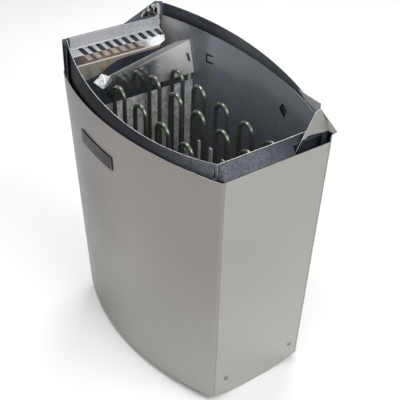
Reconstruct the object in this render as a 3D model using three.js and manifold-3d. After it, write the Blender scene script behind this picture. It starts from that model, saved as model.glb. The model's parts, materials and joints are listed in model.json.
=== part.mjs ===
// Electric sauna heater, empty of stones: a boat-shaped stainless casing round a stone space
// with three rows of tubular heating elements, an air duct at the left end and a connection box below.
// Millimetres, +Z up, front towards -Y, the flat bare end towards +X.
import * as THREE from 'three';
import { mergeVertices } from 'three/addons/utils/BufferGeometryUtils.js';
import Module from 'manifold-3d';

const wasm = await Module();
wasm.setup();

// ---- driving dimensions (mm) ----
const HALF_LENGTH = 230; // casing, at its top edge
const END_HALF_WIDTH = 109.4; // flat ends
const FRONT_BULGE = 151.6; // front apex from the middle
const REAR_BULGE = 152; // rear apex from the middle
const CASING_TOP = 468; // height of the stainless casing above its lower corners
const TAPER_X = 23.8; // each end leans in by this much at the bottom
const TAPER_Y = 17.9; // the front leans in by this much at the bottom
const CORNER_BEND = 5; // tangent length of the vertical corner bends
const SHEET = 1.0; // casing sheet
const WALL = 1.2; // inner wall sheet
const END_BOW = 12; // drop of the bowed lower edge of each end panel
const ARC_STEPS = 24;

const INNER_FRONT = { a: 214, e: 107, b: 149 };
const INNER_REAR = { a: 213, e: 104.8, b: 145 };
const INNER_RIGHT_X = 212.4;
const INNER_RIGHT_TOP = 490.5;
const BASE_PLATE_Z = 100;
const BASE_PLATE_T = 1.5;

const TUBE_R = 4; // heating element tube
const LEG_PITCH = 33;
const LEGS = 10;
const FIRST_LEG_X = -142.5;
const ROW_Y = [67, 16, -58];
const LOOP_BOTTOM_Z = 131; // centre of the lower turns
const PIN_END_Z = 76;

const DUCT_X = -153;
const DUCT_TOP = 420.5;
const BAFFLE_BOTTOM = 434.5;
const BAFFLE_LEAN = 0.194; // the baffle leans back towards the duct

const BOX_X = 150, BOX_Y = 75, BOX_TOP = 58, BOX_BOTTOM = -END_BOW, BOX_WALL = 1.2;

const KNOB_R = 17, KNOB_H = 22, SHAFT_R = 3;
const CONTROL_Z = 72;
const TIMER_Y = -40, RESET_Y = 2, THERMOSTAT_Y = 44;

// shifts that put the origin at the middle of the footprint, on the floor
const SHIFT_X = -2.05, SHIFT_Y = -7.15, SHIFT_Z = END_BOW;

// ---- looks ----
const M = (color, roughness, metalness) => new THREE.MeshStandardMaterial({ color, roughness, metalness });
const STAINLESS = M(0x9a9590, 0.38, 1);
const DARK_STEEL = M(0x34373d, 0.5, 0.6);
const GALVANISED = M(0x9a9ea4, 0.5, 0.9);
const ELEMENT = M(0x3b3d33, 0.5, 0.7);
const BRIGHT = M(0xc8c8c6, 0.22, 1);
const ZINC = M(0xb5b8ba, 0.4, 0.9);
const BLACK = M(0x191a1b, 0.45, 0);
const CERAMIC = M(0xd9d2c2, 0.7, 0);
const BRASS = M(0xb08d4c, 0.35, 1);
const RED = M(0xa3221c, 0.4, 0);
const WIRE = M(0xe4dfd2, 0.6, 0);
const COPPER = M(0xb87345, 0.35, 1);

// ---- solids ----
function solid(geometry) {
  const g = geometry.index ? geometry.toNonIndexed() : geometry;
  const bare = new THREE.BufferGeometry().setAttribute('position', g.getAttribute('position').clone());
  const m = mergeVertices(bare, 1e-4);
  const vertProperties = new Float32Array(m.attributes.position.array);
  const triVerts = new Uint32Array(m.index.array);
  return new wasm.Manifold(new wasm.Mesh({ numProp: 3, vertProperties, triVerts }));
}
function geometry(s) {
  const m = s.getMesh(), n = m.numProp, v = new Float32Array(m.numVert * 3);
  for (let i = 0; i < m.numVert; i++) v.set(m.vertProperties.subarray(i * n, i * n + 3), i * 3);
  const g = new THREE.BufferGeometry();
  g.setAttribute('position', new THREE.BufferAttribute(v, 3));
  g.setIndex(new THREE.BufferAttribute(new Uint32Array(m.triVerts), 1));
  g.computeVertexNormals();
  return g;
}
const cut = (g, ...tools) => geometry(tools.reduce((s, t) => s.subtract(solid(t)), solid(g)));
const join = (g, ...more) => geometry(more.reduce((s, t) => s.add(solid(t)), solid(g)));
const meet = (g, other) => geometry(solid(g).intersect(solid(other)));

// a closed mesh from points and triangles, turned so that its faces point out
function closed(points, tris) {
  let volume = 0;
  for (const [i, j, k] of tris) {
    const p = points[i], q = points[j], r = points[k];
    volume += p[0] * (q[1] * r[2] - q[2] * r[1]) + p[1] * (q[2] * r[0] - q[0] * r[2]) + p[2] * (q[0] * r[1] - q[1] * r[0]);
  }
  const g = new THREE.BufferGeometry();
  g.setAttribute('position', new THREE.Float32BufferAttribute(points.flat(), 3));
  g.setIndex(tris.flatMap(([i, j, k]) => (volume < 0 ? [i, k, j] : [i, j, k])));
  g.computeVertexNormals();
  return g;
}
// a sheet: at each station a list of outer points and as many inner points, bottom to top
function sheet(stations) {
  const L = stations[0].outer.length, m = 2 * L, points = [], tris = [];
  for (const s of stations) points.push(...s.outer, ...[...s.inner].reverse());
  const quad = (a, b, c, d) => tris.push([a, b, c], [a, c, d]);
  for (let i = 0; i + 1 < stations.length; i++)
    for (let j = 0; j < m; j++) quad(i * m + j, i * m + ((j + 1) % m), (i + 1) * m + ((j + 1) % m), (i + 1) * m + j);
  const cap = (o, flip) => {
    for (let j = 0; j + 1 < L; j++) {
      const q = [o + j, o + m - 1 - j, o + m - 2 - j, o + j + 1];
      if (flip) q.reverse();
      quad(...q);
    }
  };
  cap(0, false);
  cap((stations.length - 1) * m, true);
  return closed(points, tris);
}
// a round tube along points, with one radius for each point
function tube(path, radius, sides) {
  const P = path.map((p) => new THREE.Vector3(...p));
  const R = Array.isArray(radius) ? radius : path.map(() => radius);
  const points = [], tris = [];
  let n = null;
  P.forEach((p, i) => {
    const d = new THREE.Vector3();
    if (i > 0) d.add(p.clone().sub(P[i - 1]).normalize());
    if (i + 1 < P.length) d.add(P[i + 1].clone().sub(p).normalize());
    d.normalize();
    if (!n) n = new THREE.Vector3(Math.abs(d.y) < 0.9 ? 0 : 1, Math.abs(d.y) < 0.9 ? 1 : 0, 0);
    n.addScaledVector(d, -n.dot(d)).normalize();
    const b = d.clone().cross(n);
    for (let k = 0; k < sides; k++) {
      const t = (2 * Math.PI * k) / sides;
      const q = p.clone().addScaledVector(n, R[i] * Math.cos(t)).addScaledVector(b, R[i] * Math.sin(t));
      points.push([q.x, q.y, q.z]);
    }
  });
  for (let i = 0; i + 1 < P.length; i++)
    for (let k = 0; k < sides; k++) {
      const a = i * sides + k, b = i * sides + ((k + 1) % sides);
      tris.push([a, b, b + sides], [a, b + sides, a + sides]);
    }
  const last = (P.length - 1) * sides;
  for (let k = 1; k + 1 < sides; k++) tris.push([0, k + 1, k], [last, last + k, last + k + 1]);
  return closed(points, tris);
}
// a solid between stacked outlines of equal point count
function stack(outlines, heights) {
  const n = outlines[0].length, points = [], tris = [];
  outlines.forEach((o, i) => o.forEach(([x, y]) => points.push([x, y, heights[i]])));
  for (let i = 0; i + 1 < outlines.length; i++)
    for (let k = 0; k < n; k++) {
      const a = i * n + k, b = i * n + ((k + 1) % n);
      tris.push([a, b, b + n], [a, b + n, a + n]);
    }
  const ccw = THREE.ShapeUtils.area(outlines[0].map(([x, y]) => new THREE.Vector2(x, y))) > 0;
  const faces = THREE.ShapeUtils.triangulateShape(outlines[0].map(([x, y]) => new THREE.Vector2(x, y)), []);
  const top = (outlines.length - 1) * n;
  for (const [a, b, c] of faces) {
    tris.push(ccw ? [a, c, b] : [a, b, c]);
    tris.push(ccw ? [top + a, top + b, top + c] : [top + a, top + c, top + b]);
  }
  return closed(points, tris);
}
const shapeOf = (pts, holes = []) => {
  const s = new THREE.Shape(pts.map(([x, y]) => new THREE.Vector2(x, y)));
  for (const h of holes) s.holes.push(new THREE.Path(h.map(([x, y]) => new THREE.Vector2(x, y))));
  return s;
};
const extrude = (pts, depth, holes) => new THREE.ExtrudeGeometry(shapeOf(pts, holes), { depth, bevelEnabled: false });
const V = (x, y, z) => new THREE.Vector3(x, y, z);
const place = (g, X, Y, Z, at) => g.applyMatrix4(new THREE.Matrix4().makeBasis(X, Y, Z).setPosition(...at));
// plates: outline in (y,z), (x,z) or (x,y), thickness along +X, -Y or +Z
const plateX = (pts, x, t, holes) => place(extrude(pts, t, holes), V(0, 1, 0), V(0, 0, 1), V(1, 0, 0), [x, 0, 0]);
const plateY = (pts, y, t, holes) => place(extrude(pts, t, holes), V(1, 0, 0), V(0, 0, 1), V(0, -1, 0), [0, y, 0]);
const plateZ = (pts, z, t, holes) => extrude(pts, t, holes).translate(0, 0, z);
const block = (x0, x1, y0, y1, z0, z1) =>
  new THREE.BoxGeometry(x1 - x0, y1 - y0, z1 - z0).translate((x0 + x1) / 2, (y0 + y1) / 2, (z0 + z1) / 2);
const ring = (r, n, turn = 0) => Array.from({ length: n }, (_, k) => [r * Math.cos((2 * Math.PI * k) / n + turn), r * Math.sin((2 * Math.PI * k) / n + turn)]);
const turned = (profile, n) => {
  const g = new THREE.LatheGeometry(profile.map(([r, z]) => new THREE.Vector2(r, z)), n).rotateX(Math.PI / 2);
  const bare = mergeVertices(new THREE.BufferGeometry().setAttribute('position', g.toNonIndexed().getAttribute('position').clone()), 1e-4);
  const p = bare.attributes.position, idx = bare.index.array, points = [], tris = [];
  for (let i = 0; i < p.count; i++) points.push([p.getX(i), p.getY(i), p.getZ(i)]);
  for (let i = 0; i < idx.length; i += 3)
    if (idx[i] !== idx[i + 1] && idx[i + 1] !== idx[i + 2] && idx[i] !== idx[i + 2]) tris.push([idx[i], idx[i + 1], idx[i + 2]]);
  return closed(points, tris);
};
const rod = (r, z0, z1, n = 12) => extrude(ring(r, n), z1 - z0).translate(0, 0, z0);

// ---- plan curves ----
// arc through (-a, e), (0, b), (a, e) as points from left to right; side -1 is the front, +1 the rear
function arc(a, e, b, side, n = ARC_STEPS) {
  const s = b - e, R = (a * a + s * s) / (2 * s), half = Math.asin(a / R);
  return Array.from({ length: n + 1 }, (_, i) => {
    const t = -half + (2 * half * i) / n;
    return [R * Math.sin(t), side * (b - R + R * Math.cos(t))];
  });
}
const arcY = (x, a, e, b) => {
  const s = b - e, R = (a * a + s * s) / (2 * s);
  return b - R + Math.sqrt(R * R - x * x);
};
const lean = (z) => Math.max(0, 1 - z / CASING_TOP); // 1 at the bottom, 0 from the casing's top up
// a path with its ends turned round the corners: from one flat end, along the curve, to the other
function withBends(curve, endY, d, steps = 4) {
  const n = curve.length, out = [];
  const along = (i0, dir) => {
    let rest = d, i = i0;
    while (rest > 0) {
      const p = curve[i], q = curve[i + dir], l = Math.hypot(q[0] - p[0], q[1] - p[1]);
      if (l >= rest) return { p: [p[0] + ((q[0] - p[0]) * rest) / l, p[1] + ((q[1] - p[1]) * rest) / l], next: i + dir };
      rest -= l;
      i += dir;
    }
  };
  const bez = (p, c, q, t) => [0, 1].map((k) => (1 - t) * (1 - t) * p[k] + 2 * t * (1 - t) * c[k] + t * t * q[k]);
  const L = along(0, 1), Rr = along(n - 1, -1), c0 = curve[0], c1 = curve[n - 1];
  const f0 = [c0[0], c0[1] + endY * d], f1 = [c1[0], c1[1] + endY * d];
  for (let i = 0; i <= steps; i++) out.push(bez(f0, c0, L.p, i / steps));
  for (let i = L.next; i <= Rr.next; i++) out.push(curve[i]);
  for (let i = 0; i <= steps; i++) out.push(bez(Rr.p, c1, f1, i / steps));
  return out;
}
// the path moved sideways by t, towards the inside
function inset(path, t, towards) {
  return path.map((p, i) => {
    const a = path[Math.max(0, i - 1)], b = path[Math.min(path.length - 1, i + 1)];
    let nx = -(b[1] - a[1]), ny = b[0] - a[0];
    const l = Math.hypot(nx, ny);
    nx /= l; ny /= l;
    const s = towards === 'left' ? 1 : -1;
    return [p[0] + s * t * nx, p[1] + s * t * ny];
  });
}
const at = (p, z) => [p[0], p[1], z];

const group = new THREE.Group();
const body = new THREE.Group();
body.position.set(SHIFT_X, SHIFT_Y, SHIFT_Z);
group.add(body);
function add(name, g, material, parent = body) {
  const mesh = new THREE.Mesh(g, material);
  mesh.name = name;
  parent.add(mesh);
  return mesh;
}

// ---- end frames: local Z points out of the leaning end panel, local Y climbs along it ----
const LEAN = Math.atan(TAPER_X / CASING_TOP);
function endFrame(side, z) {
  const x = side * (HALF_LENGTH - TAPER_X * lean(z));
  const Z = V(side * Math.cos(LEAN), 0, -Math.sin(LEAN)), Y = V(side * Math.sin(LEAN), 0, Math.cos(LEAN)), X = V(0, side, 0);
  return new THREE.Matrix4().makeBasis(X, Y, Z).setPosition(x, 0, z);
}
const SCREW_Y = [-63, 86], SCREW_Z = 33;

// ---- stainless casing ----
const frontPath = (z) => {
  const k = lean(z);
  return withBends(arc(HALF_LENGTH - TAPER_X * k, END_HALF_WIDTH - TAPER_Y * k, FRONT_BULGE - TAPER_Y * k, -1), 1, CORNER_BEND);
};
const rearPath = (z) => {
  const k = lean(z);
  return withBends(arc(HALF_LENGTH - TAPER_X * k, END_HALF_WIDTH, REAR_BULGE, 1), -1, CORNER_BEND);
};
const rearRim = (x) => { const t = x / HALF_LENGTH; return 513.3 - 35.1 * t + 11.1 * (1 - t * t); };
{
  const b = frontPath(0), t = frontPath(CASING_TOP), bi = inset(b, SHEET, 'left'), ti = inset(t, SHEET, 'left');
  add('front_panel', sheet(b.map((p, i) => ({ outer: [at(p, 0), at(t[i], CASING_TOP)], inner: [at(bi[i], 0), at(ti[i], CASING_TOP)] }))), STAINLESS);
}
{
  const b = rearPath(0), t = rearPath(CASING_TOP), bi = inset(b, SHEET, 'right'), ti = inset(t, SHEET, 'right');
  add('rear_casing', sheet(b.map((p, i) => ({
    outer: [at(p, 0), at(t[i], CASING_TOP), at(t[i], rearRim(t[i][0]))],
    inner: [at(bi[i], 0), at(ti[i], CASING_TOP), at(ti[i], rearRim(t[i][0]))],
  }))), DARK_STEEL);
}
function endPanel(side) {
  const n = 16, stations = [], gap = CORNER_BEND + 0.4;
  for (let i = 0; i <= n; i++) {
    const s = i / n, yb = -END_HALF_WIDTH + TAPER_Y + gap + s * (2 * END_HALF_WIDTH - TAPER_Y - 2 * gap);
    const yt = -END_HALF_WIDTH + gap + s * (2 * END_HALF_WIDTH - 2 * gap);
    const drop = -END_BOW * (1 - (2 * s - 1) ** 2);
    const xb = HALF_LENGTH - TAPER_X * (1 - drop / CASING_TOP);
    stations.push({
      outer: [[side * xb, yb, drop], [side * HALF_LENGTH, yt, CASING_TOP]],
      inner: [[side * (xb - SHEET), yb, drop], [side * (HALF_LENGTH - SHEET), yt, CASING_TOP]],
    });
  }
  const tools = SCREW_Y.map((y) => rod(2.3, -4, 4).translate(side * y, 0, 0).applyMatrix4(endFrame(side, SCREW_Z)));
  if (side < 0) {
    const f = endFrame(-1, CONTROL_Z);
    for (const y of [TIMER_Y, THERMOSTAT_Y]) tools.push(rod(4.5, -4, 4).translate(-y, 0, 0).applyMatrix4(f));
    tools.push(rod(6, -4, 4).translate(-RESET_Y, 0, 0).applyMatrix4(f));
  }
  return cut(sheet(stations), ...tools);
}
add('right_end_panel', endPanel(1), STAINLESS);
add('left_end_panel', endPanel(-1), STAINLESS);
for (const side of [1, -1]) {
  const frame = new THREE.Group();
  frame.applyMatrix4(endFrame(side, SCREW_Z));
  body.add(frame);
  SCREW_Y.forEach((y, i) => {
    const head = turned([[0, 2.4], [2.2, 2.1], [3.6, 1.3], [4.2, 0.3], [1.8, 0.3], [1.8, -6], [0, -6]], 12);
    const slot = block(-3.2, 3.2, -0.5, 0.5, 1.4, 4);
    add(`${side > 0 ? 'right' : 'left'}_end_screw_${i + 1}`, cut(head, slot).translate(side * y, 0, 0), ZINC, frame);
  });
  // bracket between the end panel and the connection box
  const xa = HALF_LENGTH - TAPER_X * lean(18) - SHEET - 0.4, xb = HALF_LENGTH - TAPER_X * lean(46) - SHEET - 0.4;
  const prof = [[BOX_X + 0.4, 18], [xa, 18], [xb, 46], [xb - 1.5, 46], [xa - 1.5, 19.5], [BOX_X + 0.4, 19.5]].map(([x, z]) => [side * x, z]);
  if (side < 0) prof.reverse();
  const shelf = plateY(prof, 92, 162);
  add(`${side > 0 ? 'right' : 'left'}_end_bracket`, cut(shelf, ...SCREW_Y.map((y) => rod(2.3, -8, 4).translate(side * y, 0, 0).applyMatrix4(endFrame(side, SCREW_Z)))), ZINC);
}

// ---- dark collar at the left end, wrapping the front left corner ----
{
  const outline = (z) => {
    const full = withBends(arc(HALF_LENGTH - TAPER_X * lean(z), END_HALF_WIDTH - TAPER_Y * lean(z), FRONT_BULGE - TAPER_Y * lean(z), -1), 1, CORNER_BEND);
    return full.slice(0, 7); // the corner bend and the first curve points
  };
  const zs = [432, CASING_TOP], stations = [];
  const path = (z, t) => {
    const o = inset(outline(z), t, 'left'), x = o[0][0], y0 = o[0][1];
    const ys = [105.2, 95, 89, 72, 54, 36, 19, -20, -60].filter((y) => y > y0 + 4);
    return [...ys.map((y) => [x, y]), ...o];
  };
  const top = (p, i, n) => (p[1] >= 89 ? 556 - (p[1] - 89) * 0.25 : p[1] > 19 ? 527 + ((p[1] - 19) / 70) * 29 : 527);
  const po = zs.map((z) => path(z, 1.5)), pi = zs.map((z) => path(z, 2.6));
  po[1].forEach((p, i) => {
    const h = top(p);
    stations.push({ outer: [at(po[0][i], zs[0]), at(p, zs[1]), at(p, h)], inner: [at(pi[0][i], zs[0]), at(pi[1][i], zs[1]), at(pi[1][i], h)] });
  });
  add('left_end_collar', sheet(stations), DARK_STEEL);
}

// ---- inner walls of the stone space ----
const frontWallTop = (x) => { const t = x / HALF_LENGTH; return 514.7 - 25.7 * t - 20.6 * (1 - t * t) + 4.8 * t ** 3; };
const rearWallTop = (x) => 509.2 - (20.8 * x) / HALF_LENGTH;
const WALL_FOOT = BASE_PLATE_Z - 4;
const innerFront = (z, t = 0) => arc(INNER_FRONT.a - TAPER_X * lean(z), INNER_FRONT.e - TAPER_Y * lean(z) - t, INNER_FRONT.b - TAPER_Y * lean(z) - t, -1);
const innerRear = (z, t = 0) => arc(INNER_REAR.a - TAPER_X * lean(z), INNER_REAR.e - t, INNER_REAR.b - t, 1);
{
  const b = innerFront(WALL_FOOT), m = innerFront(CASING_TOP), bi = innerFront(WALL_FOOT, WALL), mi = innerFront(CASING_TOP, WALL);
  const wall = sheet(b.map((p, i) => ({
    outer: [at(p, WALL_FOOT), at(m[i], CASING_TOP), at(m[i], frontWallTop(m[i][0]))],
    inner: [at(bi[i], WALL_FOOT), at(mi[i], CASING_TOP), at(mi[i], frontWallTop(m[i][0]))],
  })));
  add('inner_front_wall', cut(wall, block(207.6, 210.8, -120, -90, 466, 478)), DARK_STEEL); // a short slit near the corner
}
{
  // it runs on behind the slotted panel, along the same curve
  const longer = (z, t = 0) => {
    const p = innerRear(z, t), a = INNER_REAR.a - TAPER_X * lean(z), e = INNER_REAR.e - t, q = INNER_REAR.b - t;
    return [[-a - 11, arcY(a + 11, a, e, q)], [-a - 5.5, arcY(a + 5.5, a, e, q)], ...p];
  };
  const b = longer(WALL_FOOT), m = longer(CASING_TOP), bi = longer(WALL_FOOT, WALL), mi = longer(CASING_TOP, WALL);
  const wall = sheet(b.map((p, i) => ({
    outer: [at(p, WALL_FOOT), at(m[i], CASING_TOP), at(m[i], rearWallTop(m[i][0]))],
    inner: [at(bi[i], WALL_FOOT), at(mi[i], CASING_TOP), at(mi[i], rearWallTop(m[i][0]))],
  })));
  const diamond = plateY([[71.5, 449], [81, 462], [94, 455], [88, 436.5]], 150, 20);
  const tab = plateY([[-124, 463], [-107, 463], [-107, 466], [-121, 466], [-121, 477], [-107, 477], [-107, 480], [-124, 480]], 150, 24);
  add('inner_rear_wall', cut(wall, diamond, tab), GALVANISED);
}
{
  const stations = [], n = 4;
  for (let i = 0; i <= n; i++) {
    const s = i / n, x = (z) => INNER_RIGHT_X - TAPER_X * lean(z);
    const y = (z) => -(INNER_FRONT.e - TAPER_Y * lean(z)) + 2.2 + s * (INNER_FRONT.e - TAPER_Y * lean(z) + INNER_REAR.e - 4.4);
    const zs = [WALL_FOOT, CASING_TOP, INNER_RIGHT_TOP];
    stations.push({ outer: zs.map((z) => [x(z), y(z), z]), inner: zs.map((z) => [x(z) - WALL, y(z), z]) });
  }
  add('inner_right_wall', sheet(stations), GALVANISED);
}
// sloping band that closes the gap between the right wall's rim and the casing, narrower where it passes behind the corner flap
add('right_band', join(
  plateY([[213.6, 490.1], [212.8, 489.5], [227.8, 467.8], [228.6, 468.4]], 33, 137),
  plateY([[213.6, 490.1], [212.8, 489.5], [219.8, 479.37], [220.6, 479.97]], 99, 67),
), GALVANISED);
// the clear space inside the walls, used to trim what fits between them
const clear = (z, gap) => {
  const f = innerFront(z, WALL + gap).filter(([x]) => x < INNER_RIGHT_X - TAPER_X * lean(z) - WALL - gap && x > -216);
  const r = innerRear(z, WALL + gap).filter(([x]) => x < INNER_RIGHT_X - TAPER_X * lean(z) - WALL - gap && x > -216).reverse();
  return [...f, ...r];
};
const inside = stack([clear(WALL_FOOT, 0.5), clear(CASING_TOP, 0.5), clear(640, 0.5)], [WALL_FOOT, CASING_TOP, 640]);

// ---- slotted air panel at the left end: upright, ledge with ten slots, lip with a web that deepens towards the front ----
{
  const ledgeTop = (x) => 503.5 - ((x + 216) * 7.1) / 41;
  // the slots run across the bend, so each notches the foot of the upright and the edge of the ledge
  const slots = Array.from({ length: 10 }, (_, i) => block(-218, -204.5, -83.4 + i * 17.85, -72 + i * 17.85, 490, 509));
  add('slotted_air_panel', cut(block(-217, -216, -99, 90, 503.6, 531), ...slots), GALVANISED);
  const prof = [[-217, 502.5], [-176.05, ledgeTop(-176.05) - 1], [-176.05, ledgeTop(-176.05)], [-217, 503.55]];
  const outline = plateZ([[-217.5, -99], [-212.8, -99], [-212.8, -160], [-170, -160], [-170, 64], [-176.1, 64], [-184, 80], [-201, 90], [-217.5, 90]], 470, 90);
  const bed = meet(meet(plateY(prof, 130, 260), outline), join(block(-218, -212.6, -101, 98, 480, 560), meet(block(-213, -150, -160, 160, 470, 560), inside)));
  add('slotted_ledge', cut(bed, ...slots), GALVANISED);
  const web = [[-125, 462], [-76, 468], [-61, 473], [-47, 481.5], [-26, 488.8], [0, 490.5], [63, 491.5], [63, 496.4], [-125, 496.4]];
  add('ledge_lip', meet(plateX(web, -176, 1), inside), GALVANISED);
}
// ---- air duct: galvanised wall below, stainless baffle above it ----
add('duct_wall', meet(plateX([[-150, BASE_PLATE_Z + BASE_PLATE_T + 0.4], [150, BASE_PLATE_Z + BASE_PLATE_T + 0.4], [150, DUCT_TOP], [-150, DUCT_TOP]], DUCT_X - 0.5, 1), inside), GALVANISED);
{
  const k = Math.hypot(1, BAFFLE_LEAN), up = V(-BAFFLE_LEAN / k, 0, 1 / k), out = V(1 / k, 0, BAFFLE_LEAN / k);
  const on = (pts) => pts.map(([y, z]) => [y, (z - 431) * k]);
  const outline = [[130, BAFFLE_BOTTOM], [130, 498], [89, 498], [-58.4, 470.6], [-52.3, 456], [-56, 453.5], [-76, 451], [-76, BAFFLE_BOTTOM]];
  const slot = [[109.4, 474], [115.2, 472], [118.4, 456], [112.2, 458.5]];
  const plate = meet(place(extrude(on(outline), 1, [on(slot)]), V(0, 1, 0), up, out, [-150.5, 0, 431]), inside);
  // the front end is a tongue, folded out and tipped back
  const rim = [[-157.3, -56.6, 470.4], [-157.7, -58.4, 471.2], [-160, -71.7, 478.3], [-146, -96.6, 474.4], [-143, -80.2, 458.7], [-154.8, -52.3, 456.3], [-155.4, -50.6, 457.2]];
  const n = [0.777, 0.355, 0.52], half = (h) => rim.map((q) => q.map((v, c) => v + n[c] * h)), c = rim.length, faces = [];
  for (let q = 0; q < c; q++) faces.push([q, (q + 1) % c, c + ((q + 1) % c)], [q, c + ((q + 1) % c), c + q]);
  for (let q = 1; q + 1 < c; q++) faces.push([0, q + 1, q], [c, c + q, c + q + 1]);
  const tongue = closed([...half(-0.5), ...half(0.5)], faces);
  const legs = [[112, 119], [-58, -50]].flatMap(([y0, y1]) => [block(DUCT_X - 1.9, DUCT_X - 0.9, y0, y1, 392, 440), block(DUCT_X - 1.9, -150.7, y0, y1, 434.7, 440)]);
  add('baffle_plate', join(plate, tongue, ...legs), STAINLESS);
}
// ---- corner sheets ----
{
  const end = plateX([[34.9, 462.5], [38.5, 461], [61, 489.3], [92, 486], [92, 442], [104, 442], [104, 488], [83.1, 529.4], [73.5, 526.8], [70.5, 521.8]], 221.5, 1);
  const back = plateY([[150.3, 526.2], [164, 515.6], [179, 510.6], [190.9, 506.5], [212, 493.5], [222.3, 486.5], [233, 482.5], [242, 491.2], [201.4, 514.3], [201.1, 522.9], [175.6, 524.2]], 104.6, 1);
  add('corner_flap', join(end, back), STAINLESS);
}
add('corner_stay', plateX([[52, 534], [60, 545], [74, 552], [92, 553], [96, 548], [96, 510], [84, 510], [84, 534]], -223, 1.2, [[[74, 538], [80, 538], [80, 546], [74, 546]]]), BRIGHT);

// ---- base plate of the stone space ----
const legX = (i) => FIRST_LEG_X + LEG_PITCH * i;
{
  const k = lean(BASE_PLATE_Z);
  const outline = clear(BASE_PLATE_Z, 0.5);
  let plate = plateZ(outline, BASE_PLATE_Z, BASE_PLATE_T);
  const tools = [];
  for (const y of ROW_Y) for (const x of [legX(0), legX(LEGS - 1)]) tools.push(rod(4.6, BASE_PLATE_Z - 2, BASE_PLATE_Z + 4, 16).translate(x, y, 0));
  for (const [y, h, x1] of [[41.5, 16, 135], [-21, 22, 44], [-92, 18, 135], [106, 18, 135]]) tools.push(block(-125, -5, y - h / 2, y + h / 2, 90, 110), block(10, x1, y - h / 2, y + h / 2, 90, 110));
  tools.push(block(-186, -160, -62, 78, 90, 110));
  add('element_base_plate', cut(plate, ...tools), GALVANISED);
}
// ---- heating elements ----
const loopTop = (x) => 452.5 - 0.1 * x;
function elementPath(y) {
  const pts = [], r = LEG_PITCH / 2;
  pts.push([legX(0), y, PIN_END_Z]);
  for (let i = 0; i < LEGS; i += 2) {
    const xc = legX(i) + r, zc = loopTop(xc) - TUBE_R - r;
    for (let k = 0; k <= 8; k++) { const t = Math.PI - (Math.PI * k) / 8; pts.push([xc + r * Math.cos(t), y, zc + r * Math.sin(t)]); }
    if (i + 2 < LEGS) {
      const xd = legX(i + 1) + r;
      for (let k = 0; k <= 6; k++) { const t = Math.PI + (Math.PI * k) / 6; pts.push([xd + r * Math.cos(t), y, LOOP_BOTTOM_Z + r * Math.sin(t)]); }
    }
  }
  pts.push([legX(LEGS - 1), y, PIN_END_Z]);
  return pts;
}
const ROW_NAME = ['rear', 'middle', 'front'];
ROW_Y.forEach((y, i) => {
  add(`heating_element_${ROW_NAME[i]}`, tube(elementPath(y), TUBE_R, 8), ELEMENT);
  [legX(0), legX(LEGS - 1)].forEach((x, j) =>
    add(`element_nut_${ROW_NAME[i]}_${j + 1}`, plateZ(ring(8.5, 6), BASE_PLATE_Z - 6.3, 6, [ring(4.5, 12)]).translate(x, y, 0), BRASS));
});
for (const [i, [x, w, z]] of [[56.4, 3, 430], [88, 4, 430], [121, 4, 424]].entries())
  add(`element_support_bar_${i + 1}`, block(x - w, x + w, -20.8, -19.2, BASE_PLATE_Z + BASE_PLATE_T + 0.3, z), BRIGHT);

// ---- connection box under the base plate ----
{
  const outer = block(-BOX_X, BOX_X, -BOX_Y, BOX_Y, BOX_BOTTOM, BOX_TOP);
  const hollow = block(-BOX_X + BOX_WALL, BOX_X - BOX_WALL, -BOX_Y + BOX_WALL, BOX_Y - BOX_WALL, BOX_BOTTOM + BOX_WALL, BOX_TOP + 5);
  const inlet = rod(10.5, -10, 10, 20).rotateX(-Math.PI / 2).translate(100, BOX_Y, 22);
  add('connection_box', cut(outer, hollow, inlet), ZINC);
  const holes = [];
  ROW_Y.forEach((y, i) => holes.push(ring(4, 10).map(([px, py]) => [px + 128, py + (16 - 16 * i)])));
  holes.push(ring(4, 10).map(([px, py]) => [px - 120, py]));
  add('box_lid', plateZ([[-151.5, -100], [151.5, -100], [151.5, 116], [-151.5, 116]], BOX_TOP + 0.4, 1.2, holes), GALVANISED);
}
{
  const base = block(64, 140, -34, 34, BOX_BOTTOM + BOX_WALL + 0.3, 8);
  const ways = [];
  for (let i = 0; i < 4; i++) ways.push(rod(3.2, 2, 20, 10).translate(118, -24 + 16 * i, 0), rod(3.2, 2, 20, 10).translate(90, -24 + 16 * i, 0));
  const fins = [];
  for (let i = 0; i < 3; i++) fins.push(block(72, 132, -17 + 16 * i, -15 + 16 * i, 7, 13));
  add('terminal_block', cut(join(base, ...fins), ...ways), CERAMIC);
}
{
  // gland: hexagon and dome on the rear wall of the box, its mouth closed by a membrane
  const nut = plateZ(ring(15, 6), 0.3, 8), dome = turned([[0, 8], [12, 8], [12, 14], [9.5, 20], [0, 20]], 18), neck = rod(10, -8, 1, 18);
  const g = cut(join(nut, dome, neck), rod(5.5, 17.5, 40, 14));
  add('cable_gland', g.rotateX(-Math.PI / 2).translate(100, BOX_Y, 22), BLACK);
}
ROW_Y.forEach((y, i) => {
  const yt = 16 - 16 * i, yb = 24 - 16 * i;
  const c = new THREE.CatmullRomCurve3([V(154.5, y, PIN_END_Z - 0.5), V(154.5, y, 70), V(146, y * 0.8 + yt * 0.2, 65.5), V(134, y * 0.25 + yt * 0.75, 66), V(128, yt, 62), V(128, yt, 50), V(122, (yt + yb) / 2, 26), V(118, yb, 12), V(118, yb, 2.6)]);
  add(`line_wire_${i + 1}`, tube(c.getPoints(20).map((p) => [p.x, p.y, p.z]), 1.6, 6), WIRE);
});
add('neutral_bridge', block(-146.5, -138.5, -63, 72, 72.6, 75.5), COPPER);
{
  const c = new THREE.CatmullRomCurve3([V(-142.5, 0, 72.2), V(-141, 0, 68), V(-130, 0, 65.5), V(-121, 0, 64), V(-120, 0, 56), V(-112, -3, 30), V(-60, -12, 6), V(20, -22, 4), V(70, -24, 14), V(86, -24, 13), V(90, -24, 8), V(90, -24, 2.6)]);
  add('neutral_wire', tube(c.getPoints(28).map((p) => [p.x, p.y, p.z]), 1.6, 6), WIRE);
}

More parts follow.
